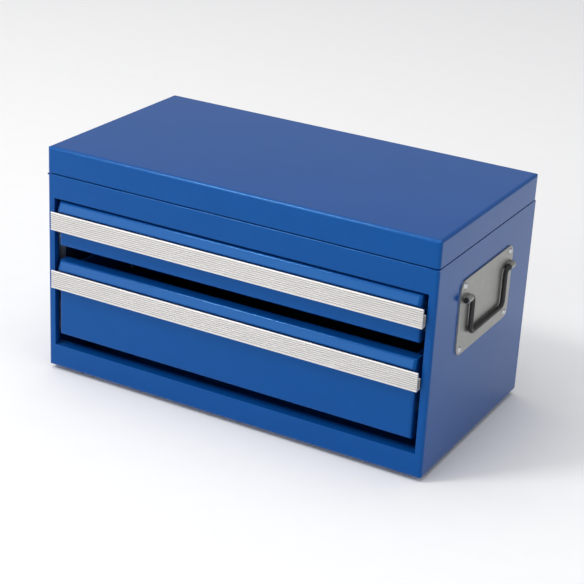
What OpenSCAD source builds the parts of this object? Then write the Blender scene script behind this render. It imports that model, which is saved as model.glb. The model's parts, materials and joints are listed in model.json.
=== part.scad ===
// Portable steel tool chest: a hinged box lid over an open compartment,
// two drawers on ball-bearing slides, ribbed aluminium pulls and two
// drop handles. X runs along the front, Y to the back and Z up.
// The origin is the middle of the footprint, at the level of the feet.

/* [Cabinet] */
// Height of the whole chest, from its feet to the top of its lid
chest_h = 150; // [145:0.5:190]
// Width of the steel cabinet, without its side handles
cabinet_w = 265; // [220:1:340]
// Depth of the steel cabinet, from its front frame to its back
cabinet_d = 140.8; // [135:0.1:200]
// Thickness of the folded sheet steel
sheet_t = 0.8; // [0.6:0.1:1]
// Outside radius of the folded edges
bend_r = 2; // [1.2:0.1:3]
// Width of the two front uprights
upright_w = 5; // [4:0.1:8]
// Depth of the safety fold behind each upright
upright_fold = 4; // [2:0.1:5]
// Height of the bottom rail at the front
rail_h = 15.5; // [8:0.1:25]
// Height of the front header under the lid
header_h = 15.6; // [14.5:0.1:40]
// Width of the folded flange around the top of the cabinet
top_flange = 8; // [6:0.1:12]
// Drop of the stiffening lip on that flange
flange_lip = 3; // [2:0.1:5]
// Height of the flanges of the compartment floor
floor_flange = 4; // [2:0.1:5]
// Depth of the back panel's flanges
back_flange = 5.8; // [4:0.1:6]

/* [Lid] */
// Height of the box lid
lid_h = 16.6; // [12:0.1:40]
// Open joint between the lid and the cabinet
lid_gap = 0.8; // [0.6:0.1:2]
// Width of the rim folded inwards around the lid's opening
lid_rim = 7; // [4:0.1:9]
// Angle to which the lid opens
lid_open = 100; // [90:1:102]
// Radius of the rubber bumpers under the lid
bumper_r = 2.5; // [2:0.1:3]
// Distance of the bumpers from the cabinet's corners
bumper_inset = 20; // [14:1:40]

/* [Hinge] */
// Length of the piano hinge
hinge_l = 236; // [150:1:240]
// Number of knuckles on the hinge, an odd number
knuckles = 15; // [9:2:21]
// Outside radius of the knuckles
knuckle_r = 1.8; // [1.6:0.1:2]
// Radius of the hinge pin
hinge_pin_r = 0.9; // [0.7:0.05:1]
// Axis of the hinge behind the cabinet's back
hinge_stand = 2.3; // [2.3:0.1:3]
// Reach of the stop nibs from the hinge axis
nib_r = 2.6; // [2.4:0.1:2.6]
// Height of each hinge leaf
leaf_h = 11; // [9:0.1:12]
// Number of rivets in each hinge leaf
leaf_rivets = 6; // [3:1:9]

/* [Drawers] */
// Height of the upper drawer's face
upper_face_h = 29.3; // [25:0.1:60]
// Open slot between the bottom rail and the lower drawer
bottom_slot = 8; // [3:0.1:14]
// Open slot between the two drawers
middle_slot = 9.6; // [3:0.1:16]
// Open joint between the upper drawer and the header
header_slot = 1.2; // [0.8:0.1:4]
// Open joint at each side of a drawer's face
side_slot = 3.5; // [2:0.1:6]
// Depth of the hollow nose behind a drawer's face
nose_d = 8; // [6:0.1:12]
// Drop from the top of a face to the rim of its tray
rim_drop = 3.8; // [3:0.1:6]
// Clear space between a drawer's tray and the back panel
tray_clear = 3.5; // [2:0.1:6]
// Thickness of the rubber mats
mat_t = 1.2; // [0.8:0.1:3]
// Opening travel of both drawers
travel = 92; // [60:1:95]

/* [Pulls] */
// Height of the ribbed aluminium pull
pull_h = 11.7; // [10:0.1:16]
// Distance from the top of a face down to the pull
pull_drop = 6.1; // [3:0.1:8]
// How far the pull stands in front of the face
pull_stand = 4.5; // [4:0.1:8]
// Wall thickness of the pull
pull_t = 1.3; // [1:0.1:1.5]
// Number of ribs along the pull
pull_ribs = 9; // [7:1:10]
// Radius of the grooves between the ribs
groove_r = 0.36; // [0.2:0.01:0.4]
// Height of the pull's riveted flange
pull_flange = 7; // [6:0.1:8]
// Clearance between a pull's end and the upright beside it
pull_end_gap = 0.5; // [0.4:0.1:3]

/* [Slides] */
// Height of a drawer slide
slide_h = 17; // [16:0.1:18]
// Thickness of a drawer slide, from post to tray
slide_t = 10; // [9.8:0.1:11]
// Distance from the back of a tray to the end of its slides
slide_short = 1.5; // [1.3:0.1:4]
// Radius of the slide balls
ball_r = 1.25; // [1.2:0.01:1.3]
// Number of balls in each row of a cage
cage_balls = 4; // [2:1:4]
// Spacing of the balls along a cage
ball_pitch = 7.6; // [4:0.1:8]
// Width of a mounting post
post_w = 12; // [10:0.1:16]
// Distance from a slide's ends to the middle of its posts
post_inset = 10; // [10:0.1:20]

/* [Side handles] */
// Width of the handle's plate, front to back
plate_w = 76; // [76:1:90]
// Height of the handle's plate
plate_h = 47; // [47:0.5:54]
// Thickness of the handle's plate
plate_t = 0.9; // [0.8:0.1:1]
// Radius of the bail's wire
bail_r = 1.5; // [1.4:0.05:1.55]
// Distance between the bail's two arms
bail_w = 48; // [40:0.5:50]
// Drop of the bail's grip below its pivots
bail_drop = 24; // [18:0.5:24]
// Centre-line radius of the bail's bends
bail_bend = 4; // [3:0.1:4.5]
// Length of the two pivot eyes
eye_l = 6; // [4:0.1:6.5]

/* [Feet] */
// Height of the rubber feet
foot_h = 2.5; // [2:0.1:8]
// Radius of the rubber feet
foot_r = 6; // [5.5:0.1:9]
// Distance of the feet from the cabinet's corners
foot_inset = 14; // [12:0.5:40]

/* [Clearances] */
// Clearance between parts that slide or swing past each other
gap = 0.3; // [0.2:0.05:0.4]
// Radial running clearance of pins and balls
fit = 0.05; // [0.02:0.01:0.08]

/* [Hidden] */
$fn = 40;

// Overlap of pieces joined into one, and how far a cutter passes a face
EPS = 0.01;
CUT = 1;
LEFT = -1;
RIGHT = 1;

// Rivets of each size: shank radius, head radius and head height
rivet_r = 1.4;
rivet_head_r = 2.3;
rivet_head_h = 0.8;
leaf_rivet_r = 1;
leaf_rivet_head_r = 1.8;
leaf_rivet_head_h = 0.6;
plate_rivet_inset = 5;

// Stop nibs on the lid's knuckles, which meet the back when the lid is open
nib_t = 0.8;
nib_root = 1.3;
nib_inset = 1;
nib_clear = 0.12;
nib_down = 180 - acos((hinge_stand - nib_clear) / nib_r) - lid_open;
nib_back = nib_r * cos(nib_down) + nib_t * sin(nib_down);

// Front, back and side planes of the cabinet
total_d = pull_stand + cabinet_d + hinge_stand + max(knuckle_r, nib_back);
front_y = pull_stand - total_d / 2;
back_y = front_y + cabinet_d;
side_x = cabinet_w / 2;
wall_x = side_x - sheet_t;
back_in_y = back_y - sheet_t;

// Levels, from the floor up
base_z = foot_h;
rail_z = base_z + rail_h;
lower_z = rail_z + bottom_slot;
lower_face_h = chest_h - lower_z - middle_slot - upper_face_h - header_slot
               - header_h - lid_gap - lid_h;
lower_top = lower_z + lower_face_h;
upper_z = lower_top + middle_slot;
upper_top = upper_z + upper_face_h;
header_z = upper_top + header_slot;
rim_z = header_z + header_h;
lid_z = rim_z + lid_gap;
lid_top = lid_z + lid_h;
floor_z = header_z + sheet_t;

// Opening between the uprights, and what fills it
opening_x = side_x - upright_w;
face_x = opening_x - side_slot;
pull_x = opening_x - pull_end_gap;

// Cross-section of a slide, measured from its post towards the tray
web_t = 0.9;
race_t = 1.1;
lip_t = 0.8;
lip_h = 0.5;
inner_lip_t = 0.7;
outer_reach = 6.4;
inner_start = 1.9;
race_depth = 0.2;
ball_u = 4;
ball_v = slide_h / 2 - web_t - ball_r;
outer_race_v = slide_h / 2 - race_t;
inner_race_v = ball_v - ball_r + race_depth;
cage_t = 0.5;
cage_gap = 0.2;
cage_edge = 0.65;
cage_u = web_t + cage_gap;
cage_end_u = ball_u + ball_r + cage_edge;
stop_v = 3.5;
stop_catch = 0.1;
stop_end_u = cage_u + cage_t + stop_catch;

// Slide posts bring the slides clear of the uprights
pass_gap = 0.9;
post_d = upright_w - sheet_t - inner_start + pass_gap;
post_x = wall_x - post_d;
tray_x = post_x - slide_t;

// Trays, slides, cages and posts along Y
tray_y = front_y + nose_d;
tray_end = back_in_y - tray_clear;
slide_setback = 1;
slide_y = tray_y + slide_setback;
slide_end = tray_end - slide_short;
outer_end = slide_end + gap + web_t;
cage_l = slide_end - slide_y - travel - 2 * web_t - gap;
cage_y = slide_y + web_t + gap / 2 + travel / 2;
post_end_gap = 2;
post_bottom = rail_z + post_end_gap;
post_top = header_z - post_end_gap;
post_foot = 4;
post_reach = post_w / 2 + post_foot;
plate_rivet_y = plate_w / 2 - plate_rivet_inset;
rivet_clear_y = plate_rivet_y + rivet_head_r + gap + post_reach;
front_post_y = min(slide_y + post_inset, -rivet_clear_y);
rear_post_y = min(back_y - back_flange - gap - post_reach,
                  max(slide_end - post_inset, rivet_clear_y));

// Trays sit on the return folded back under each face
tray_bend = 1.5;
hem_h = 3;
mat_corner = 2;
pull_corner = 0.5;
lower_tray_z = lower_z + sheet_t;
upper_tray_z = upper_z + sheet_t;
lower_rim = lower_top - rim_drop;
upper_rim = upper_top - rim_drop;
lower_slide_z = (lower_tray_z + lower_rim) / 2;
upper_slide_z = (upper_tray_z + upper_rim) / 2;
tray_rivet_inset = 12;

// Hinge axis and its knuckles
hinge_y = back_y + hinge_stand;
hinge_z = rim_z + lid_gap / 2;
knuckle_pitch = hinge_l / knuckles;
knuckle_gap = 0.3;
notch_gap = 0.4;
leaf_notch = nib_r + notch_gap;
leaf_rivet_inset = 3.2;
leaf_rivet_z = leaf_h - leaf_rivet_inset;

// Side handle
bail_stand = 0.35;
bail_x = side_x + plate_t + bail_stand + bail_r;
bail_tip = 1;
strap_t = 0.7;
plate_margin = 3.5;
rivet_over_slide = 3;
eye_under_rivet = 3.5;
eye_r = bail_r + fit + strap_t;
eye_y = bail_w / 2 + bail_bend + gap + eye_l / 2;
plate_corner = 6;
top_rivet_z = upper_slide_z + slide_h / 2 + rivet_over_slide;
plate_top = top_rivet_z + plate_margin;
plate_z = plate_top - plate_h;
bail_z = top_rivet_z - rivet_head_r - eye_under_rivet - eye_r;

// Feet and bumpers
foot_taper = 0.8;
foot_neck_r = 2.4;
foot_knob_r = 3.4;
foot_knob_h = 1.2;
bumper_gap = 0.2;
bumper_h = lid_gap - bumper_gap;

// ---- shapes that repeat -------------------------------------------------

// A box between two opposite corners
module block(low, high) {
  translate(low) cube(high - low);
}

// A flat shape drawn in X and Z, carried along Y
module along_y(y0, y1) {
  translate([0, y1, 0])
    rotate([90, 0, 0])
      linear_extrude(y1 - y0) children();
}

// A flat shape drawn in Y and Z, carried along X
module along_x(x0, x1) {
  translate([x0, 0, 0])
    rotate([90, 0, 90])
      linear_extrude(x1 - x0) children();
}

// A flat shape drawn in X and Y, carried along Z
module along_z(z0, z1) {
  translate([0, 0, z0]) linear_extrude(z1 - z0) children();
}

// What a round corner takes off a square one; sx and sy point outwards
module corner_cut(corner, r, sx, sy) {
  if (r > 0)
    translate(corner - [sx * r, sy * r])
      difference() {
        translate([sx > 0 ? 0 : -r - CUT, sy > 0 ? 0 : -r - CUT]) square(r + CUT);
        circle(r);
      }
}

// A rectangle with corner radii: low-low, high-low, high-high, low-high
module round_rect(low, high, r) {
  difference() {
    translate(low) square(high - low);
    corner_cut([low[0], low[1]], r[0], -1, -1);
    corner_cut([high[0], low[1]], r[1], 1, -1);
    corner_cut([high[0], high[1]], r[2], 1, 1);
    corner_cut([low[0], high[1]], r[3], -1, 1);
  }
}

// A flat shape and its mirror image below the X axis
module both_edges() {
  children();
  mirror([0, 1]) children();
}

// Mirrors a right-hand piece to the left
module on_side(side) {
  mirror([side < 0 ? 1 : 0, 0, 0]) children();
}

// A rivet whose shank runs from z = 0 to z = grip, headed at both ends
module rivet(grip, r, head_r, head_h) {
  translate([0, 0, -EPS]) cylinder(r = r, h = grip + 2 * EPS);
  translate([0, 0, -head_h]) cylinder(r1 = head_r - head_h, r2 = head_r, h = head_h);
  translate([0, 0, grip]) cylinder(r1 = head_r, r2 = head_r - head_h, h = head_h);
}

// ---- cabinet ------------------------------------------------------------

// The bent-up body: a block with round folds at the front and the bottom
module folded_body(inset, top) {
  r = bend_r - inset;
  low = [-side_x + inset, front_y + inset, base_z + inset];
  high = [side_x - inset, back_y, top];
  intersection() {
    along_y(low[1], high[1])
      round_rect([low[0], low[2]], [high[0], high[2]], [r, r, 0, 0]);
    along_z(low[2], high[2])
      round_rect([low[0], low[1]], [high[0], high[1]], [r, r, 0, 0]);
    along_x(low[0], high[0])
      round_rect([low[1], low[2]], [high[1], high[2]], [r, 0, 0, 0]);
  }
}

// Flange and lip folded inwards along the top of one side
module side_flange() {
  flange_y = front_y + top_flange;
  flange_end = back_y - back_flange;
  lip_x = side_x - top_flange;
  block([lip_x, flange_y, rim_z - sheet_t], [side_x - EPS, flange_end, rim_z]);
  block([lip_x, flange_y, rim_z - flange_lip], [lip_x + sheet_t, flange_end, rim_z]);
  block([opening_x, front_y + EPS, rim_z - sheet_t],
        [side_x - EPS, flange_y + EPS, rim_z]);
}

// Holes for the handle's rivets, through one side
module handle_rivet_holes() {
  for (y = [-1, 1], z = [top_rivet_z, plate_z + plate_margin])
    translate([wall_x - CUT, y * plate_rivet_y, z])
      rotate([0, 90, 0]) cylinder(r = rivet_r, h = sheet_t + plate_t + 2 * CUT);
}

module foot_places() {
  for (x = [-1, 1], y = [front_y + foot_inset, back_y - foot_inset])
    translate([x * (side_x - foot_inset), y, 0]) children();
}

module cabinet_shell() {
  color([0.05, 0.25, 0.55])
    difference() {
      union() {
        difference() {
          folded_body(0, rim_z);
          folded_body(sheet_t, rim_z + CUT);
          block([-wall_x, back_in_y - CUT, base_z + sheet_t],
                [wall_x, back_y + CUT, rim_z + CUT]);
          block([-opening_x, front_y - CUT, rail_z],
                [opening_x, front_y + 2 * sheet_t, rim_z + CUT]);
        }
        block([-wall_x - EPS, front_y + sheet_t / 2, rail_z - sheet_t],
              [wall_x + EPS, front_y + nose_d, rail_z]);
        for (side = [LEFT, RIGHT])
          on_side(side) {
            side_flange();
            block([opening_x, front_y + sheet_t / 2, rail_z - EPS],
                  [opening_x + sheet_t, front_y + upright_fold, header_z]);
          }
      }
      foot_places() translate([0, 0, base_z - CUT])
        cylinder(r = foot_neck_r, h = sheet_t + 2 * CUT);
      for (side = [LEFT, RIGHT]) on_side(side) handle_rivet_holes();
    }
}

// A pan with its flanges pointing forwards, set between the sides
module back_panel() {
  t = sheet_t;
  z0 = base_z + t;
  r = bend_r - t;
  color([0.05, 0.23, 0.5])
    difference() {
      along_y(back_y - back_flange, back_y)
        round_rect([-wall_x, z0], [wall_x, rim_z], [r, r, 0, 0]);
      along_y(back_y - back_flange - CUT, back_in_y)
        round_rect([t - wall_x, z0 + t], [wall_x - t, rim_z - t], [r - t, r - t, 0, 0]);
      leaf_rivet_places(-1) cylinder(r = leaf_rivet_r, h = 4 * sheet_t, center = true);
    }
}

module front_header() {
  color([0.05, 0.25, 0.55])
    along_x(-opening_x, opening_x)
      difference() {
        round_rect([front_y, header_z], [front_y + top_flange, rim_z],
                   [sheet_t, 0, 0, sheet_t]);
        translate([front_y + sheet_t, header_z + sheet_t])
          square([top_flange - 2 * sheet_t, header_h - 2 * sheet_t]);
        translate([front_y + top_flange - 1.5 * sheet_t, header_z + sheet_t])
          square([2 * sheet_t, header_h - sheet_t - flange_lip]);
      }
}

// The floor of the top compartment, a shallow pan with upturned flanges
module compartment_floor() {
  r = bend_r - sheet_t;
  color([0.05, 0.23, 0.5])
    difference() {
      along_z(floor_z, floor_z + sheet_t + floor_flange)
        round_rect([-wall_x, front_y + sheet_t], [wall_x, back_in_y], [r, r, 0, 0]);
      block([-wall_x + sheet_t, front_y - CUT, floor_z + sheet_t],
            [wall_x - sheet_t, back_in_y - sheet_t, rim_z]);
      for (side = [LEFT, RIGHT])
        on_side(side) {
          block([opening_x - gap, front_y, floor_z + sheet_t],
                [side_x, front_y + top_flange, rim_z]);
          block([wall_x - sheet_t - gap, back_y - back_flange - gap, header_z],
                [side_x, back_y, rim_z]);
        }
    }
}

// Hat-section posts that carry the slides, two on each side
module slide_posts(side) {
  color([0.62, 0.64, 0.66])
    on_side(side)
      for (y = [front_post_y, rear_post_y])
        translate([0, y, 0]) along_z(post_bottom, post_top) difference() {
          union() {
            translate([post_x, -post_w / 2]) square([post_d, post_w]);
            translate([wall_x - sheet_t, -post_w / 2 - post_foot])
              square([sheet_t, post_w + 2 * post_foot]);
          }
          translate([post_x + sheet_t, sheet_t - post_w / 2])
            square([post_d, post_w - 2 * sheet_t]);
        }
}

// ---- slides -------------------------------------------------------------

// Both ball races of a slide, as circles
module races(r) {
  for (v = [-ball_v, ball_v]) translate([-ball_u, v]) circle(r);
}

// The cabinet's member: a channel with its lips turned towards the balls
module outer_profile() {
  half = slide_h / 2;
  difference() {
    union() {
      translate([-web_t, -half]) square([web_t, slide_h]);
      both_edges() {
        translate([-outer_reach, outer_race_v]) square([outer_reach, race_t]);
        translate([-outer_reach, outer_race_v - lip_h]) square([lip_t, lip_h + EPS]);
      }
    }
    races(ball_r + fit);
  }
}

// The drawer's member: a channel that opens towards the cabinet
module inner_profile() {
  flange = inner_race_v - race_t;
  difference() {
    union() {
      translate([-slide_t, -inner_race_v]) square([web_t, 2 * inner_race_v]);
      both_edges() {
        translate([-slide_t, flange]) square([slide_t - inner_start, race_t]);
        translate([-inner_start - inner_lip_t, inner_race_v - EPS])
          square([inner_lip_t, lip_h + EPS]);
      }
    }
    races(ball_r + fit);
  }
}

// The cage: a thin channel whose flanges hold the balls
module cage_profile() {
  v = ball_v + cage_t / 2;
  reach = cage_end_u - cage_u;
  difference() {
    translate([-cage_end_u, -v]) square([reach, 2 * v]);
    translate([-cage_end_u - CUT, cage_t - v])
      square([reach - cage_t + CUT, 2 * v - 2 * cage_t]);
  }
}

module tray_rivet_places() {
  first = slide_y + tray_rivet_inset;
  last = min(slide_end, tray_end) - tray_rivet_inset;
  for (y = [first, (first + last) / 2, last])
    translate([tray_x, y, 0]) rotate([0, 90, 0]) children();
}

// Outer member with its two stop tabs, spot-welded to the posts
module outer_slide(side, z) {
  color([0.75, 0.77, 0.8])
    on_side(side) translate([0, 0, z]) {
      translate([post_x, 0, 0]) along_y(slide_y, outer_end) outer_profile();
      block([post_x - stop_end_u, slide_y, -stop_v],
            [post_x - web_t + EPS, slide_y + web_t, stop_v]);
      block([post_x - outer_reach, outer_end - web_t, -stop_v],
            [post_x - web_t + EPS, outer_end, stop_v]);
    }
}

// Inner member with the rear tab that stops it against the cage
module inner_slide(side, z) {
  color([0.8, 0.82, 0.84])
    on_side(side) translate([0, 0, z])
      difference() {
        union() {
          translate([post_x, 0, 0]) along_y(slide_y, slide_end) inner_profile();
          block([tray_x + web_t - EPS, slide_end - web_t, -stop_v],
                [post_x - web_t - gap, slide_end, stop_v]);
        }
        tray_rivet_places() translate([0, 0, -CUT])
          cylinder(r = rivet_r, h = web_t + 2 * CUT);
      }
}

// Places of the balls in one cage
module ball_places() {
  run = (cage_balls - 1) * ball_pitch;
  for (i = [0 : cage_balls - 1], v = [-ball_v, ball_v])
    translate([post_x - ball_u, cage_y + (cage_l - run) / 2 + i * ball_pitch, v])
      children();
}

module ball_cage(side, z) {
  color([0.7, 0.6, 0.3])
    on_side(side) translate([0, 0, z])
      difference() {
        translate([post_x, 0, 0]) along_y(cage_y, cage_y + cage_l) cage_profile();
        ball_places() cylinder(r = ball_r + fit, h = 4 * cage_t, center = true);
      }
}

module balls(side, z) {
  color([0.88, 0.88, 0.9])
    on_side(side) translate([0, 0, z]) ball_places() sphere(ball_r);
}

module slide_rivets(z) {
  color([0.8, 0.82, 0.84])
    for (side = [LEFT, RIGHT])
      on_side(side) translate([0, 0, z]) tray_rivet_places()
        translate([0, 0, -sheet_t])
          rivet(sheet_t + web_t, rivet_r, rivet_head_r, rivet_head_h);
}

// ---- drawers ------------------------------------------------------------

module pull_rivet_places(top) {
  z = top - pull_drop - pull_h + pull_t + (pull_flange - pull_t) / 2;
  for (i = [-1.5 : 1.5])
    translate([i * pull_x / 2, front_y + sheet_t, z]) rotate([90, 0, 0]) children();
}

// A hollow front: round folds at its edges, an open back, and a fold that
// drops over the tray, with a return below that the tray stands on
module drawer_front(z0, z1) {
  low = [-face_x, front_y, z0];
  high = [face_x, front_y + nose_d, z1];
  t = sheet_t;
  color([0.05, 0.3, 0.6])
    difference() {
      union() {
        difference() {
          nose_block(low, high, bend_r);
          nose_block(low + [t, t, t], high + [-t, 1, -t], bend_r - t);
        }
        block([-tray_x, tray_y - t, z1 - 2 * nose_d], [tray_x, tray_y, z1 - t / 2]);
        block([-tray_x, tray_y - t, z0], [tray_x, tray_y + nose_d, z0 + t]);
      }
      pull_rivet_places(z1) translate([0, 0, -CUT])
        cylinder(r = rivet_r, h = t + 2 * CUT);
    }
}

module nose_block(low, high, r) {
  intersection() {
    along_x(low[0], high[0])
      round_rect([low[1], low[2]], [high[1], high[2]], [r, 0, 0, r]);
    along_z(low[2], high[2])
      round_rect([low[0], low[1]], [high[0], high[1]], [r, r, 0, 0]);
  }
}

// A folded tray with a hem along the top of its two sides
module drawer_tray(z0, z1, slide_z) {
  t = sheet_t;
  r = tray_bend;
  color([0.05, 0.28, 0.55])
    difference() {
      union() {
        difference() {
          along_y(tray_y, tray_end)
            round_rect([-tray_x, z0], [tray_x, z1], [r, r, 0, 0]);
          along_y(tray_y + t, tray_end - t)
            round_rect([t - tray_x, z0 + t], [tray_x - t, z1 + CUT], [r - t, r - t, 0, 0]);
        }
        for (side = [LEFT, RIGHT])
          on_side(side)
            block([tray_x - 2 * t, tray_y + t / 2, z1 - hem_h],
                  [tray_x - t / 2, tray_end - t / 2, z1]);
      }
      for (side = [LEFT, RIGHT])
        on_side(side) translate([0, 0, slide_z]) tray_rivet_places()
          translate([0, 0, -t - CUT]) cylinder(r = rivet_r, h = t + 2 * CUT);
    }
}

// A pressed mat with round corners, a little smaller than its tray
module drawer_mat(z0) {
  r = mat_corner;
  x = tray_x - tray_bend - gap;
  y0 = tray_y + sheet_t + gap;
  y1 = tray_end - sheet_t - gap;
  color([0.08, 0.08, 0.09])
    along_z(z0 + sheet_t, z0 + sheet_t + mat_t)
      round_rect([-x, y0], [x, y1], [r, r, r, r]);
}

// Extruded pull: a ribbed face, a bottom web and a flange riveted to the face
module pull_profile() {
  pitch = pull_h / pull_ribs;
  r = pull_corner;
  difference() {
    union() {
      round_rect([0, 0], [pull_t, pull_h], [r, 0, r, r]);
      square([pull_stand, pull_t]);
      round_rect([pull_stand - web_t, 0], [pull_stand, pull_flange], [0, 0, 0, r]);
    }
    for (i = [1 : pull_ribs - 1]) translate([0, i * pitch]) circle(groove_r);
  }
}

module drawer_pull(z1) {
  color([0.82, 0.81, 0.8])
    difference() {
      translate([0, front_y - pull_stand, z1 - pull_drop - pull_h])
        along_x(-pull_x, pull_x) pull_profile();
      pull_rivet_places(z1) cylinder(r = rivet_r, h = sheet_t + web_t + CUT);
    }
}

module pull_rivets(z1) {
  color([0.8, 0.82, 0.84])
    pull_rivet_places(z1) rivet(sheet_t + web_t, rivet_r, rivet_head_r, rivet_head_h);
}

// ---- lid and hinge ------------------------------------------------------

// The box lid's outside, or its inside when it is inset by the sheet
module lid_block(inset, z0) {
  r = bend_r - inset;
  low = [-side_x + inset, front_y + inset, z0];
  high = [side_x - inset, back_y - inset, lid_top - inset];
  intersection() {
    along_y(low[1], high[1])
      round_rect([low[0], low[2]], [high[0], high[2]], [0, 0, r, r]);
    along_x(low[0], high[0])
      round_rect([low[1], low[2]], [high[1], high[2]], [0, 0, r, r]);
    along_z(low[2], high[2])
      round_rect([low[0], low[1]], [high[0], high[1]], [r, r, r, r]);
  }
}

module lid_shell() {
  rim = lid_rim;
  color([0.06, 0.3, 0.62])
    difference() {
      lid_block(0, lid_z);
      lid_block(sheet_t, lid_z + sheet_t);
      block([rim - side_x, front_y + rim, lid_z - CUT],
            [side_x - rim, back_y - rim, lid_z + 2 * sheet_t]);
      leaf_rivet_places(1) cylinder(r = leaf_rivet_r, h = 4 * sheet_t, center = true);
    }
}

// One leaf; way is -1 for the cabinet's leaf and 1 for the lid's
module hinge_leaf(way) {
  leaf_back = back_y + sheet_t;
  first = way < 0 ? 0 : 1;
  second = 1 - first;
  color([0.72, 0.74, 0.76])
    difference() {
      union() {
        translate([0, 0, hinge_z]) mirror([0, 0, way < 0 ? 1 : 0])
          block([-hinge_l / 2, back_y, 0], [hinge_l / 2, leaf_back, leaf_h]);
        for (i = [first : 2 : knuckles - 1])
          translate([knuckle_x(i), hinge_y, hinge_z]) {
            rotate([0, 90, 0]) cylinder(r = knuckle_r, h = knuckle_pitch - knuckle_gap);
            if (way > 0) stop_nib();
          }
      }
      for (i = [second : 2 : knuckles - 1])
        translate([knuckle_x(i) - knuckle_gap, back_y - CUT, hinge_z - leaf_notch])
          cube([knuckle_pitch + knuckle_gap, knuckle_r + 2 * CUT + hinge_stand,
                2 * leaf_notch]);
      translate([-hinge_l / 2 - CUT, hinge_y, hinge_z])
        rotate([0, 90, 0]) cylinder(r = hinge_pin_r + fit, h = hinge_l + 2 * CUT);
      leaf_rivet_places(way) cylinder(r = leaf_rivet_r, h = 6 * sheet_t, center = true);
    }
}

// Left end of knuckle i
function knuckle_x(i) = i * knuckle_pitch - hinge_l / 2 + knuckle_gap / 2;

// Edge left proud on a rolled knuckle, which stops the lid against the back
module stop_nib() {
  rotate([-nib_down, 0, 0])
    block([nib_inset, nib_root, 0],
          [knuckle_pitch - knuckle_gap - nib_inset, nib_r, nib_t]);
}

module leaf_rivet_places(way) {
  step = hinge_l / leaf_rivets;
  for (i = [0 : leaf_rivets - 1])
    translate([(i + 0.5) * step - hinge_l / 2, back_in_y, hinge_z + way * leaf_rivet_z])
      rotate([-90, 0, 0]) children();
}

module leaf_rivet_row(way) {
  color([0.8, 0.82, 0.84])
    leaf_rivet_places(way)
      rivet(2 * sheet_t, leaf_rivet_r, leaf_rivet_head_r, leaf_rivet_head_h);
}

module hinge_pin() {
  color([0.8, 0.82, 0.84])
    translate([knuckle_gap / 2 - hinge_l / 2, hinge_y, hinge_z])
      rotate([0, 90, 0]) cylinder(r = hinge_pin_r, h = hinge_l - knuckle_gap);
}

module lid_bumpers() {
  y0 = front_y + top_flange / 2;
  y1 = back_y - back_flange / 2 - gap;
  color([0.1, 0.1, 0.11])
    for (x = [-1, 1], y = [y0, y1])
      translate([x * (side_x - bumper_inset), y, rim_z])
        cylinder(r = bumper_r, h = bumper_h);
}

// ---- handles and feet ---------------------------------------------------

// The eye that holds one end of the bail, standing on the plate
module eye(y) {
  translate([bail_x, y - eye_l / 2, bail_z]) {
    rotate([-90, 0, 0]) cylinder(r = eye_r, h = eye_l);
    block([side_x + plate_t - EPS - bail_x, 0, -eye_r], [0, eye_l, eye_r]);
  }
}

module handle_plate(side) {
  r = plate_corner;
  w = plate_w / 2;
  color([0.7, 0.72, 0.74])
    on_side(side)
      difference() {
        union() {
          along_x(side_x, side_x + plate_t)
            round_rect([-w, plate_z], [w, plate_top], [r, r, r, r]);
          for (y = [-eye_y, eye_y]) eye(y);
        }
        for (y = [-eye_y, eye_y])
          translate([bail_x, y - eye_l, bail_z])
            rotate([-90, 0, 0]) cylinder(r = bail_r + fit, h = 2 * eye_l);
        handle_rivet_holes();
      }
}

module handle_rivets(side) {
  color([0.8, 0.82, 0.84])
    on_side(side)
      for (y = [-1, 1], z = [top_rivet_z, plate_z + plate_margin])
        translate([wall_x, y * plate_rivet_y, z])
          rotate([0, 90, 0])
            rivet(sheet_t + plate_t, rivet_r, rivet_head_r, rivet_head_h);
}

// A quarter bend of wire in Y and Z, which starts at an angle above +Y
module wire_bend(start) {
  rotate([90, 0, 90]) rotate([0, 0, start])
    rotate_extrude(angle = 90) translate([bail_bend, 0]) circle(bail_r);
}

// Half of the bail: pivot, bend, arm, bend and half the grip
module half_bail() {
  arm_y = bail_w / 2;
  turn = bail_bend;
  tip = eye_y + eye_l / 2 + bail_tip;
  translate([0, arm_y + turn, 0])
    rotate([-90, 0, 0]) cylinder(r = bail_r, h = tip - arm_y - turn);
  translate([0, arm_y + turn, -turn]) wire_bend(90);
  translate([0, arm_y, turn - bail_drop]) cylinder(r = bail_r, h = bail_drop - 2 * turn);
  translate([0, arm_y - turn, turn - bail_drop]) wire_bend(270);
  translate([0, -EPS, -bail_drop])
    rotate([-90, 0, 0]) cylinder(r = bail_r, h = arm_y - turn + EPS);
}

module handle_bail(side) {
  color([0.1, 0.1, 0.11])
    on_side(side) translate([bail_x, 0, bail_z]) {
      half_bail();
      mirror([0, 1, 0]) half_bail();
    }
}

// A pad, a neck through the cabinet's bottom and a knob that holds it
module rubber_feet() {
  knob_z = foot_h + sheet_t;
  color([0.1, 0.1, 0.11])
    foot_places() rotate_extrude() polygon([
      [0, 0], [foot_r - foot_taper, 0], [foot_r, foot_h], [foot_neck_r, foot_h],
      [foot_neck_r, knob_z], [foot_knob_r, knob_z],
      [foot_neck_r, knob_z + foot_knob_h], [0, knob_z + foot_knob_h]
    ]);
}

// ---- what each name draws -----------------------------------------------

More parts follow.
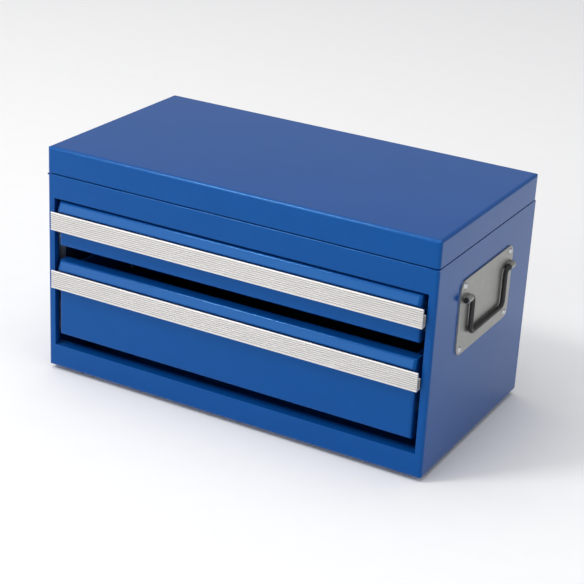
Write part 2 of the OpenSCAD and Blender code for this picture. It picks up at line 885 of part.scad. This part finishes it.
cabinet_shell();
back_panel();
front_header();
compartment_floor();
slide_posts(LEFT);  // left_slide_posts
slide_posts(RIGHT);  // right_slide_posts
outer_slide(LEFT, upper_slide_z);  // upper_left_outer_slide
outer_slide(RIGHT, upper_slide_z);  // upper_right_outer_slide
outer_slide(LEFT, lower_slide_z);  // lower_left_outer_slide
outer_slide(RIGHT, lower_slide_z);  // lower_right_outer_slide
hinge_leaf(-1);  // lower_hinge_leaf
hinge_pin();
leaf_rivet_row(-1);  // lower_leaf_rivets
handle_plate(LEFT);  // left_handle_plate
handle_plate(RIGHT);  // right_handle_plate
handle_rivets(LEFT);  // left_handle_rivets
handle_rivets(RIGHT);  // right_handle_rivets
rubber_feet();
lid_bumpers();
lid_shell();
hinge_leaf(1);  // upper_hinge_leaf
leaf_rivet_row(1);  // upper_leaf_rivets
drawer_front(upper_z, upper_top);  // upper_drawer_front
drawer_tray(upper_tray_z, upper_rim, upper_slide_z);  // upper_drawer_tray
drawer_pull(upper_top);  // upper_drawer_pull
pull_rivets(upper_top);  // upper_pull_rivets
drawer_mat(upper_tray_z);  // upper_drawer_mat
slide_rivets(upper_slide_z);  // upper_slide_rivets
inner_slide(LEFT, upper_slide_z);  // upper_left_inner_slide
inner_slide(RIGHT, upper_slide_z);  // upper_right_inner_slide
drawer_front(lower_z, lower_top);  // lower_drawer_front
drawer_tray(lower_tray_z, lower_rim, lower_slide_z);  // lower_drawer_tray
drawer_pull(lower_top);  // lower_drawer_pull
pull_rivets(lower_top);  // lower_pull_rivets
drawer_mat(lower_tray_z);  // lower_drawer_mat
slide_rivets(lower_slide_z);  // lower_slide_rivets
inner_slide(LEFT, lower_slide_z);  // lower_left_inner_slide
inner_slide(RIGHT, lower_slide_z);  // lower_right_inner_slide
ball_cage(LEFT, upper_slide_z);  // upper_left_ball_cage
ball_cage(RIGHT, upper_slide_z);  // upper_right_ball_cage
ball_cage(LEFT, lower_slide_z);  // lower_left_ball_cage
ball_cage(RIGHT, lower_slide_z);  // lower_right_ball_cage
balls(LEFT, upper_slide_z);  // upper_left_balls
balls(RIGHT, upper_slide_z);  // upper_right_balls
balls(LEFT, lower_slide_z);  // lower_left_balls
balls(RIGHT, lower_slide_z);  // lower_right_balls
handle_bail(LEFT);  // left_handle_bail
handle_bail(RIGHT);  // right_handle_bail
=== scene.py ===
import json
import math

import bmesh
import bpy
import numpy as np
from mathutils import Matrix, Vector


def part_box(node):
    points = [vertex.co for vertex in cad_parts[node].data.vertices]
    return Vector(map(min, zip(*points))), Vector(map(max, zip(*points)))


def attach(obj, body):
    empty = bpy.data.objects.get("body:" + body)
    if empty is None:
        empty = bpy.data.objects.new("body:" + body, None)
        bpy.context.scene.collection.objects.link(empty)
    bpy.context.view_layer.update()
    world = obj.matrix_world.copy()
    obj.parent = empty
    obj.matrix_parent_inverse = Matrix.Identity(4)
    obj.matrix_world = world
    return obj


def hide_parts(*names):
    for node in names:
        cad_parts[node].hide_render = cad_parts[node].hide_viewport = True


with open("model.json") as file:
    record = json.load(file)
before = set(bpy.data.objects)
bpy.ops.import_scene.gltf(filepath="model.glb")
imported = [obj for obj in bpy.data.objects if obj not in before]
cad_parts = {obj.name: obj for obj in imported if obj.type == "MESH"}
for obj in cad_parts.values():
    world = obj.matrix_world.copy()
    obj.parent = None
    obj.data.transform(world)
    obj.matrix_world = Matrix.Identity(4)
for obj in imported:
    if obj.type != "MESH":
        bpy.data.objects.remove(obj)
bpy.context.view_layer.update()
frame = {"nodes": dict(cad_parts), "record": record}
cadNodes = frame["nodes"]
slotOf = {row["node"]: row["material_slot"] for row in frame["record"]["subparts"]}
levels = ("upper", "lower")
print("tool chest loaded,", len(cadNodes), "pieces")


# lengths are in metres, x runs along the drawers, y to the back, and the chest stands on z = 0

photoCamera = {
    "place": (0.4557, -0.8384, 0.4708),   # right of the front and a little above it
    "right": (0.8692, 0.4920, 0.0492),    # where the picture's right side and top point
    "up": (-0.2335, 0.3207, 0.9180),
    "lens": 101.5, "sensor": 36.0,        # millimetres
    "near": 0.05, "far": 30.0,
}


def addObject(name, data):
    obj = bpy.data.objects.new(name, data)
    bpy.context.collection.objects.link(obj)
    return obj


def addCamera(info):
    # the columns of its turn are its right, its up and what lies behind it
    right, up = Vector(info["right"]).normalized(), Vector(info["up"]).normalized()
    turn = Matrix((right, up, right.cross(up))).transposed()
    data = bpy.data.cameras.new("photoCamera")
    data.lens, data.sensor_width = info["lens"], info["sensor"]
    data.clip_start, data.clip_end = info["near"], info["far"]
    data.dof.use_dof = False
    obj = addObject("photoCamera", data)
    obj.matrix_world = Matrix.Translation(info["place"]) @ turn.to_4x4()
    bpy.context.scene.camera = obj


lamps = [
    {"name": "overheadSoftbox", "place": (-0.3, -0.15, 2.9), "aim": (0, 0.15, 0),
     "size": (3.2, 3.0), "watts": 50, "colour": (1.0, 0.995, 0.985)},
    {"name": "keySoftbox", "place": (-1.1, -1.2, 1.95), "aim": (0, 0, 0.05),
     "size": (0.5, 0.5), "watts": 19, "colour": (1.0, 0.99, 0.975)},
    {"name": "frontPanel", "place": (-0.85, -1.6, 0.75), "aim": (0, -0.07, 0.08),
     "size": (1.5, 0.7), "watts": 10, "colour": (1.0, 0.995, 0.985)},
    {"name": "rightPanel", "place": (1.6, -0.35, 0.75), "aim": (0.05, 0, 0.08),
     "size": (0.8, 1.1), "watts": 3, "colour": (0.97, 0.985, 1.0)},
]


def addLamp(info):
    data = bpy.data.lights.new(info["name"], "AREA")
    data.shape = "RECTANGLE"
    data.size, data.size_y = info["size"]
    data.energy = info["watts"]
    data.color = info["colour"]
    obj = addObject(info["name"], data)
    way = Vector(info["aim"]) - Vector(info["place"])
    obj.location = info["place"]
    obj.rotation_euler = way.to_track_quat("-Z", "Y").to_euler()
    obj.visible_camera = False


paleSky = {"colour": (0.97, 0.98, 1.0, 1.0), "strength": 0.39}


def addSky(info):
    world = bpy.data.worlds.new("paleStudio")
    world.use_nodes = True
    back = world.node_tree.nodes["Background"]
    back.inputs["Color"].default_value = info["colour"]
    back.inputs["Strength"].default_value = info["strength"]
    bpy.context.scene.world = world


def numbered(rows, cols):
    return np.arange(rows * cols).reshape(rows, cols)


def quads(corner):
    # corner holds the numbers of a grid's points, and each four neighbours make one face
    around = [corner[:-1, :-1], corner[:-1, 1:], corner[1:, 1:], corner[1:, :-1]]
    return np.stack(around, axis=-1).reshape(-1, 4).tolist()


def addSurface(name, points, faces, smooth):
    mesh = bpy.data.meshes.new(name)
    mesh.from_pydata(points.reshape(-1, 3).tolist(), [], faces)
    mesh.polygons.foreach_set("use_smooth", np.full(len(mesh.polygons), smooth))
    mesh.update()
    return addObject(name, mesh)


floorSheet = {"reach": 9.0, "rise": 0.0, "lines": 41, "crowding": 2}


def addFloor(info):
    # z = rise; x and y = reach * sign(t) * |t| ** crowding, so the lines crowd in the middle
    t = np.linspace(-1, 1, info["lines"])
    side = np.sign(t) * np.abs(t) ** info["crowding"] * info["reach"]
    x, y = np.meshgrid(side, side)
    points = np.stack([x, y, np.full_like(x, info["rise"])], axis=-1)
    floor = addSurface("studioFloor", points, quads(numbered(*x.shape)), True)
    return floor


addCamera(photoCamera)
studioFloor = addFloor(floorSheet)
for lamp in lamps:
    addLamp(lamp)
addSky(paleSky)
bpy.context.scene.view_settings.view_transform = "Standard"
print("camera, floor and lamps set")


# shader nodes: a source is a (node, output) pair, and a place is a column and a row in the editor

editorGrid = {"column": 200, "row": 240}


def linear(red, green, blue):
    # screen values from 0 to 255 become the linear light that a shader wants, by the sRGB curve
    value = np.array([red, green, blue]) / 255.0
    light = np.where(value <= 0.04045, value / 12.92, ((value + 0.055) / 1.055) ** 2.4)
    return (*light, 1.0)


def put(tree, kind, place, **settings):
    node = tree.nodes.new(kind)
    node.location = (place[0] * editorGrid["column"], -place[1] * editorGrid["row"])
    for name, value in settings.items():
        setattr(node, name, value)
    return node


def feed(tree, value, socket):
    # a source is wired in, and anything else becomes the socket's own value
    if isinstance(value, tuple) and isinstance(value[0], bpy.types.Node):
        tree.links.new(value[0].outputs[value[1]], socket)
    else:
        socket.default_value = value


def fill(tree, node, values):
    for name, value in values.items():
        feed(tree, value, node.inputs[name])


def calc(tree, operation, first, second, place, clamp=False):
    node = put(tree, "ShaderNodeMath", place, operation=operation, use_clamp=clamp)
    fill(tree, node, {0: first, 1: second})
    return node, 0


def addNoise(tree, place, values):
    # soft noise in three dimensions, from 0 to 1
    node = put(tree, "ShaderNodeTexNoise", place)
    fill(tree, node, values)
    return node, 0


def newGroup(name, inputs, outputs):
    # inputs: each name with the value that a material gets unless it gives its own
    tree = bpy.data.node_groups.new(name, "ShaderNodeTree")
    for title, value in inputs.items():
        kind = "NodeSocketVector" if isinstance(value, tuple) else "NodeSocketFloat"
        plug = tree.interface.new_socket(title, in_out="INPUT", socket_type=kind)
        plug.default_value = value
    for title in outputs:
        tree.interface.new_socket(title, in_out="OUTPUT", socket_type="NodeSocketFloat")
    start = put(tree, "NodeGroupInput", (0, 0))
    end = put(tree, "NodeGroupOutput", (7, 0))
    coord = put(tree, "ShaderNodeTexCoord", (0, 1))
    return tree, start, end, (coord, "Object")


def makePaintSkin():
    # height of a sprayed coat, as fine peel on top of slow waves, and patches of tone
    tree, start, end, coord = newGroup(
        "paintSkin",
        {"Peel Size": 900.0, "Peel Depth": 0.5, "Wave Size": 14.0, "Wave Depth": 0.5,
         "Patch Size": 55.0},
        ["Height", "Patch"])
    peel = addNoise(tree, (1, 0), {"Vector": coord, "Scale": (start, "Peel Size"), "Detail": 1.0})
    wave = addNoise(tree, (1, 1), {"Vector": coord, "Scale": (start, "Wave Size"), "Detail": 0.5})
    patch = addNoise(tree, (1, 2), {"Vector": coord, "Scale": (start, "Patch Size"), "Detail": 3.0})
    fine = calc(tree, "MULTIPLY", peel, (start, "Peel Depth"), (2, 0))
    slow = calc(tree, "MULTIPLY", wave, (start, "Wave Depth"), (2, 1))
    fill(tree, end, {"Height": calc(tree, "ADD", fine, slow, (3, 0)), "Patch": patch})
    return tree


def makeDrawnMetal():
    # streaks along one axis, as rolled strip and extruded bar have, and a faint mottle
    tree, start, end, coord = newGroup(
        "drawnMetal",
        {"Stretch": (1.0, 60.0, 60.0), "Streak Size": 40.0, "Mottle Size": 120.0},
        ["Streak", "Mottle"])
    scaled = put(tree, "ShaderNodeVectorMath", (1, 0), operation="MULTIPLY")
    fill(tree, scaled, {0: coord, 1: (start, "Stretch")})
    streak = addNoise(tree, (2, 0), {"Vector": (scaled, 0), "Scale": (start, "Streak Size"),
                                     "Detail": 4.0, "Roughness": 0.6})
    mottle = addNoise(tree, (2, 1), {"Vector": coord, "Scale": (start, "Mottle Size"),
                                     "Detail": 2.0})
    fill(tree, end, {"Streak": streak, "Mottle": mottle})
    return tree


def makeGrooveShade():
    # painted shade for the grooves of an extruded bar: 1 in the grooves, 0 on its ribs, its two
    # edges and behind the grooves;
    # the height above Foot, counted in pitches, is a whole number in the middle of a groove
    half = 0.5
    tree, start, end, coord = newGroup(
        "grooveShade",
        {"Foot": 0.0, "Face": 0.0, "Depth": 0.00045, "Pitch": 0.0013, "Ribs": 9.0,
         "Half Width": 0.3},
        ["Mask"])
    split = put(tree, "ShaderNodeSeparateXYZ", (1, 0))
    feed(tree, coord, split.inputs[0])
    rise = calc(tree, "SUBTRACT", (split, "Z"), (start, "Foot"), (2, 0))
    step = calc(tree, "DIVIDE", rise, (start, "Pitch"), (3, 0))
    away = calc(tree, "PINGPONG", step, half, (4, 0))
    near = put(tree, "ShaderNodeMapRange", (5, 0), interpolation_type="SMOOTHSTEP")
    fill(tree, near, {"Value": away, "From Max": (start, "Half Width"), "To Min": 1.0,
                      "To Max": 0.0})
    behind = calc(tree, "SUBTRACT", (split, "Y"), (start, "Face"), (2, 1))
    front = calc(tree, "LESS_THAN", behind, (start, "Depth"), (3, 1))
    lastRib = calc(tree, "SUBTRACT", (start, "Ribs"), half, (2, 2))
    below = calc(tree, "LESS_THAN", step, lastRib, (4, 1))
    above = calc(tree, "GREATER_THAN", step, half, (4, 2))
    between = calc(tree, "MULTIPLY", below, above, (5, 1))
    shown = calc(tree, "MULTIPLY", (near, 0), front, (6, 0))
    feed(tree, calc(tree, "MULTIPLY", shown, between, (6, 1)), end.inputs["Mask"])
    return tree


def makeSettledDust():
    # a faint film that thickens on faces that look up, broken by noise
    tree, start, end, coord = newGroup("settledDust", {"Amount": 0.1, "Size": 30.0}, ["Mask"])
    face = put(tree, "ShaderNodeNewGeometry", (0, 2))
    split = put(tree, "ShaderNodeSeparateXYZ", (1, 1))
    feed(tree, (face, "True Normal"), split.inputs[0])
    up = calc(tree, "MAXIMUM", (split, "Z"), 0.0, (2, 1))
    broken = addNoise(tree, (2, 0), {"Vector": coord, "Scale": (start, "Size"), "Detail": 5.0})
    film = calc(tree, "MULTIPLY", up, broken, (3, 0))
    thin = calc(tree, "MULTIPLY", film, (start, "Amount"), (4, 0), clamp=True)
    feed(tree, thin, end.inputs["Mask"])
    return tree


paintSkin = makePaintSkin()
drawnMetal = makeDrawnMetal()
settledDust = makeSettledDust()
grooveShade = makeGrooveShade()


def newMaterial(name):
    mat = bpy.data.materials.new(name)
    mat.use_nodes = True
    return mat, mat.node_tree, mat.node_tree.nodes["Principled BSDF"]


def useGroup(tree, group, place, values):
    node = put(tree, "ShaderNodeGroup", place, node_tree=group)
    fill(tree, node, values)
    return node


def mixColours(tree, factor, first, second, place):
    # a colour Mix node has its factor at input 0, its colours at 6 and 7 and its result at 2
    node = put(tree, "ShaderNodeMix", place, data_type="RGBA")
    fill(tree, node, {0: factor, 6: first, 7: second})
    return node, 2


def spread(tree, source, ends, place):
    # a value from 0 to 1 goes to the range between the two ends
    node = put(tree, "ShaderNodeMapRange", place)
    fill(tree, node, {"Value": source, "To Min": ends[0], "To Max": ends[1]})
    return node, 0


def bumpFrom(tree, source, bump, place):
    # bump is a strength and a depth
    node = put(tree, "ShaderNodeBump", place)
    fill(tree, node, {"Height": source, "Strength": bump[0], "Distance": bump[1]})
    return node, 0


blueEnamel = {
    "deep": linear(2, 67, 137), "light": linear(4, 73, 146), "dust": linear(110, 150, 200),
    "roughness": (0.15, 0.22), "peelDepth": 0.12, "waveDepth": 0.9, "dustAmount": 0.02,
    "shine": 0.55, "tint": (0.22, 0.55, 1.0, 1.0), "bump": (1.0, 0.0003),
}
blackPaint = {
    "deep": linear(18, 18, 20), "light": linear(30, 30, 33), "dust": linear(120, 122, 126),
    "roughness": (0.34, 0.48), "peelDepth": 0.5, "waveDepth": 0.0, "dustAmount": 0.06,
    "shine": 0.45, "tint": (1.0, 1.0, 1.0, 1.0), "bump": (1.0, 0.0003),
}


def makeEnamel(name, info):
    mat, tree, shader = newMaterial(name)
    skin = useGroup(tree, paintSkin, (-5, 0), {"Peel Depth": info["peelDepth"],
                                               "Wave Depth": info["waveDepth"]})
    dust = useGroup(tree, settledDust, (-5, 1), {"Amount": info["dustAmount"]})
    tone = mixColours(tree, (skin, "Patch"), info["deep"], info["light"], (-4, 0))
    fill(tree, shader, {
        "Base Color": mixColours(tree, (dust, "Mask"), tone, info["dust"], (-3, 0)),
        "Roughness": spread(tree, (skin, "Patch"), info["roughness"], (-3, 1)),
        "Normal": bumpFrom(tree, (skin, "Height"), info["bump"], (-3, 2)),
        "Specular IOR Level": info["shine"],
        "Specular Tint": info["tint"],
    })
    return mat


zincStrip = {
    "deep": linear(158, 162, 168), "light": linear(196, 200, 205), "roughness": (0.3, 0.42),
    "stretch": (40.0, 1.0, 40.0), "metallic": 1.0, "bump": (0.1, 0.00005),
}
handlePlate = {
    "deep": linear(148, 149, 146), "light": linear(176, 177, 172), "roughness": (0.36, 0.48),
    "stretch": (6.0, 6.0, 6.0), "metallic": 0.85, "bump": (0.1, 0.00005),
}
hingeStrip = {
    "deep": linear(150, 152, 156), "light": linear(198, 200, 204), "roughness": (0.24, 0.4),
    "stretch": (1.0, 40.0, 40.0), "metallic": 1.0, "bump": (0.25, 0.00005),
}
rivetMetal = {
    "deep": linear(165, 167, 170), "light": linear(214, 216, 219), "roughness": (0.22, 0.34),
    "stretch": (6.0, 6.0, 6.0), "metallic": 1.0, "bump": (0.25, 0.00005),
}
cageStrip = {
    "deep": linear(168, 146, 84), "light": linear(206, 186, 124), "roughness": (0.26, 0.4),
    "stretch": (40.0, 1.0, 40.0), "metallic": 1.0, "bump": (0.25, 0.00005),
}
ballMetal = {
    "deep": linear(216, 217, 220), "light": linear(232, 233, 236), "roughness": (0.05, 0.12),
    "stretch": (4.0, 4.0, 4.0), "metallic": 1.0, "bump": (0.25, 0.00005),
}


def makeMetal(name, info):
    mat, tree, shader = newMaterial(name)
    drawn = useGroup(tree, drawnMetal, (-4, 0), {"Stretch": info["stretch"]})
    fill(tree, shader, {
        "Base Color": mixColours(tree, (drawn, "Streak"), info["deep"], info["light"], (-3, 0)),
        "Roughness": spread(tree, (drawn, "Mottle"), info["roughness"], (-3, 1)),
        "Normal": bumpFrom(tree, (drawn, "Streak"), info["bump"], (-3, 2)),
        "Metallic": info["metallic"],
    })
    return mat


aluminiumBar = {
    "deep": linear(214, 212, 210), "light": linear(223, 221, 219), "roughness": (0.36, 0.42),
    "stretch": (1.0, 60.0, 60.0), "metallic": 0.58,
    "ribs": 9, "groove": linear(84, 82, 82), "grooveDark": 0.8, "halfWidth": 0.28,
}


def makeRibbedBar(nodeName, info):
    # drawn metal whose grooves are darkened by painted shade, laid out from the height of the pull
    # itself
    mat, tree, shader = newMaterial(nodeName + "Bar")
    low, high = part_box(nodeName)
    drawn = useGroup(tree, drawnMetal, (-5, 1), {"Stretch": info["stretch"]})
    shade = useGroup(tree, grooveShade, (-5, 0), {
        "Foot": low[2], "Face": low[1], "Pitch": (high[2] - low[2]) / info["ribs"],
        "Ribs": info["ribs"], "Half Width": info["halfWidth"]})
    tone = mixColours(tree, (drawn, "Streak"), info["deep"], info["light"], (-4, 1))
    # painted shade in the grooves, mixed into the bar's colour
    dark = calc(tree, "MULTIPLY", (shade, "Mask"), info["grooveDark"], (-4, 0))
    fill(tree, shader, {
        "Base Color": mixColours(tree, dark, tone, info["groove"], (-3, 0)),
        "Roughness": spread(tree, (drawn, "Mottle"), info["roughness"], (-3, 1)),
        "Metallic": info["metallic"],
    })
    return mat


blackRubber = {
    "deep": linear(20, 20, 21), "light": linear(36, 36, 38), "roughness": (0.68, 0.85),
    "peelSize": 2200.0, "peelDepth": 0.6, "waveDepth": 0.2, "bump": (0.8, 0.0001),
}
matRubber = {
    "deep": linear(17, 17, 19), "light": linear(32, 32, 35), "roughness": (0.6, 0.78),
    "peelSize": 2200.0, "peelDepth": 0.6, "waveDepth": 0.2, "bump": (0.8, 0.0001),
}


def makeRubber(name, info):
    mat, tree, shader = newMaterial(name)
    skin = useGroup(tree, paintSkin, (-4, 0), {
        "Peel Size": info["peelSize"], "Peel Depth": info["peelDepth"],
        "Wave Depth": info["waveDepth"]})
    fill(tree, shader, {
        "Base Color": mixColours(tree, (skin, "Patch"), info["deep"], info["light"], (-3, 0)),
        "Roughness": spread(tree, (skin, "Patch"), info["roughness"], (-3, 1)),
        "Normal": bumpFrom(tree, (skin, "Height"), info["bump"], (-3, 2)),
    })
    return mat


palePaper = {"deep": linear(238, 238, 239), "light": linear(241, 241, 242), "roughness": 0.9}


def makePaper(name, info):
    mat, tree, shader = newMaterial(name)
    skin = useGroup(tree, paintSkin, (-4, 0), {})
    fill(tree, shader, {
        "Base Color": mixColours(tree, (skin, "Patch"), info["deep"], info["light"], (-3, 0)),
        "Roughness": info["roughness"],
    })
    return mat


finishes = {
    "blue_enamel": makeEnamel("blueEnamel", blueEnamel),
    "zinc_steel": makeMetal("zincStrip", zincStrip),
    "hinge_steel": makeMetal("hingeStrip", hingeStrip),
    "rivet_steel": makeMetal("rivetMetal", rivetMetal),
    "cage_steel": makeMetal("cageStrip", cageStrip),
    "ball_steel": makeMetal("ballMetal", ballMetal),
    "black_steel": makeEnamel("blackPaint", blackPaint),
    "black_rubber": makeRubber("blackRubber", blackRubber),
    "mat_rubber": makeRubber("matRubber", matRubber),
}
platedSteel = makeMetal("handlePlate", handlePlate)
ownFinishes = {
    "left_handle_plate": platedSteel,
    "right_handle_plate": platedSteel,
    "upper_drawer_pull": makeRibbedBar("upper_drawer_pull", aluminiumBar),
    "lower_drawer_pull": makeRibbedBar("lower_drawer_pull", aluminiumBar),
}


def dress(obj, mat):
    if not obj.material_slots:
        obj.data.materials.append(mat)
    for slot in obj.material_slots:
        slot.material = mat


for nodeName, nodeObj in cadNodes.items():
    dress(nodeObj, ownFinishes.get(nodeName) or finishes[slotOf[nodeName]])
dress(studioFloor, makePaper("palePaper", palePaper))
print("materials made:", ", ".join(sorted(finishes)))


# the mats in the drawers have fine ribs from front to back

drawerMat = {
    "pitch": 0.003, "ribDepth": 0.0004, "ribRound": 0.6, "corner": 0.002, "samples": 8, "rows": 24,
}


def closedSheet(name, x, y, z, floorZ):
    # the sheet's rim drops straight to floorZ, where a fan about one middle point closes it
    corner = numbered(*x.shape)
    rim = np.concatenate([corner[0], corner[1:, -1], corner[-1, -2::-1], corner[-2:0:-1, 0]])
    top = np.stack([x, y, z], axis=-1).reshape(-1, 3)
    foot = top[rim]
    foot[:, 2] = floorZ
    hub = np.array([[top[:, 0].mean(), top[:, 1].mean(), floorZ]])
    under = len(top) + np.arange(len(rim))
    middle = np.full(len(rim), len(top) + len(rim))
    nextRim, nextUnder = np.roll(rim, -1), np.roll(under, -1)
    wall = np.stack([rim, under, nextUnder, nextRim], axis=1).tolist()
    base = np.stack([under, middle, nextUnder], axis=1).tolist()
    return addSurface(name, np.concatenate([top, foot, hub]), quads(corner) + wall + base, False)


def addMat(level, body, info):
    # z = top - ribDepth * (1 - |sin(pi x / pitch)| ** ribRound), with x held in round corners
    nodeName = level + "_drawer_mat"
    low, high = (np.array(v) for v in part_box(nodeName))
    middle, half = (high[0] + low[0]) / 2, (high[0] - low[0]) / 2
    count = int(round(2 * half / info["pitch"])) * info["samples"] + 1
    along = (1 - np.cos(np.linspace(0, np.pi, info["rows"]))) / 2   # closer rows at both ends
    y, r = low[1] + along * (high[1] - low[1]), info["corner"]
    edge = np.clip(np.minimum(y - low[1], high[1] - y), 0, r)
    reach = half - r + np.sqrt(np.maximum(r * r - (r - edge) ** 2, 0))
    x = np.clip(np.linspace(-half, half, count)[None, :], -reach[:, None], reach[:, None])
    y = np.repeat(y[:, None], count, axis=1)
    wave = np.abs(np.sin(np.pi * (x + half) / info["pitch"])) ** info["ribRound"]
    z = high[2] - info["ribDepth"] * (1 - wave)
    obj = closedSheet(nodeName + "_ribbed", x + middle, y, z, low[2])
    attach(obj, body)
    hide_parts(nodeName)
    dress(obj, finishes["mat_rubber"])


for level in levels:
    addMat(level, level + "_drawer", drawerMat)
print("mats laid in the drawers")


# the upper edges of the drawer fronts lean out towards the pulls and roll back behind them

leanedLip = {
    "lean": math.radians(24), "foldRadius": 0.002,
    "footRadius": 0.0009, "footRise": 0.0005, "undercut": math.radians(50),
    "slot": 0.0009, "pullWall": 0.0013,   # open slot behind the pull, and the pull's own wall
    "tuck": 0.002, "frontFold": 0.002,    # how far it ends below the pull's top; the front's fold
    "seat": 0.00002, "skin": 0.00008,     # hairline off the front's face; height over its top
    "arcSteps": 14, "endSteps": 7, "sharpAngle": math.radians(35),
}


def lipProfile(level, info):
    # a fold, a straight that leans forward, and a rolled foot that turns back behind the pull;
    # each round of radius r about (yc, zc) is y = yc - r sin(a), z = zc + r cos(a)
    frontLow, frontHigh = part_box(level + "_drawer_front")
    pullLow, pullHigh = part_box(level + "_drawer_pull")
    face, top, lean = frontLow[1], frontHigh[2], info["lean"]
    fold, foot, corner = info["foldRadius"], info["footRadius"], info["frontFold"]
    footY = pullLow[1] + info["pullWall"] + info["slot"] + foot
    footZ = pullHigh[2] + info["footRise"]
    foldZ = top + info["skin"] - fold
    rise = (foldZ + fold * math.sin(lean)) - (footZ + foot * math.sin(lean))
    foldY = footY - foot * math.cos(lean) + rise * math.tan(lean) + fold * math.cos(lean)
    upright = math.pi / 2
    a = np.linspace(0, upright - lean, info["arcSteps"])
    b = np.linspace(upright - lean, upright + info["undercut"], info["arcSteps"])
    c = np.linspace(0, upright, info["arcSteps"])
    back, inner = face - info["seat"], corner + info["seat"]
    y = np.concatenate([foldY - fold * np.sin(a), footY - foot * np.sin(b), [back],
                        face + corner - inner * np.cos(c)])
    z = np.concatenate([foldZ + fold * np.cos(a), footZ + foot * np.cos(b),
                        [pullHigh[2] - info["tuck"]], top - corner + inner * np.sin(c)])
    return y, z


def faceOutwards(mesh):
    shape = bmesh.new()
    shape.from_mesh(mesh)
    bmesh.ops.recalc_face_normals(shape, faces=shape.faces)
    shape.to_mesh(mesh)
    shape.free()


def addLip(level, body, info):
    # the profile carried along x; at each end it turns back with the front's own round corner,
    # where x = half - r + r sin(t) and the profile moves back by r (1 - cos(t))
    y, z = lipProfile(level, info)
    half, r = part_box(level + "_drawer_front")[1][0], info["frontFold"]
    t = np.linspace(0, math.pi / 2, info["endSteps"])
    end, turn = half - r + r * np.sin(t), r * (1 - np.cos(t))
    x, shift = np.concatenate([-end[::-1], end]), np.concatenate([turn[::-1], turn])
    rows, cols = len(x), len(y)
    points = np.stack([np.repeat(x[:, None], cols, axis=1), y[None, :] + shift[:, None],
                       np.repeat(z[None, :], rows, axis=0)], axis=-1)
    corner = numbered(rows, cols)
    around = quads(np.hstack([corner, corner[:, :1]]))
    ends = [corner[0].tolist(), corner[-1].tolist()]
    obj = addSurface(level + "_drawer_lip", points, around + ends, True)
    faceOutwards(obj.data)
    obj.data.set_sharp_from_angle(angle=info["sharpAngle"])
    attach(obj, body)
    dress(obj, finishes["blue_enamel"])


for level in levels:
    addLip(level, level + "_drawer", leanedLip)
print("drawer lips leaned out to the pulls")
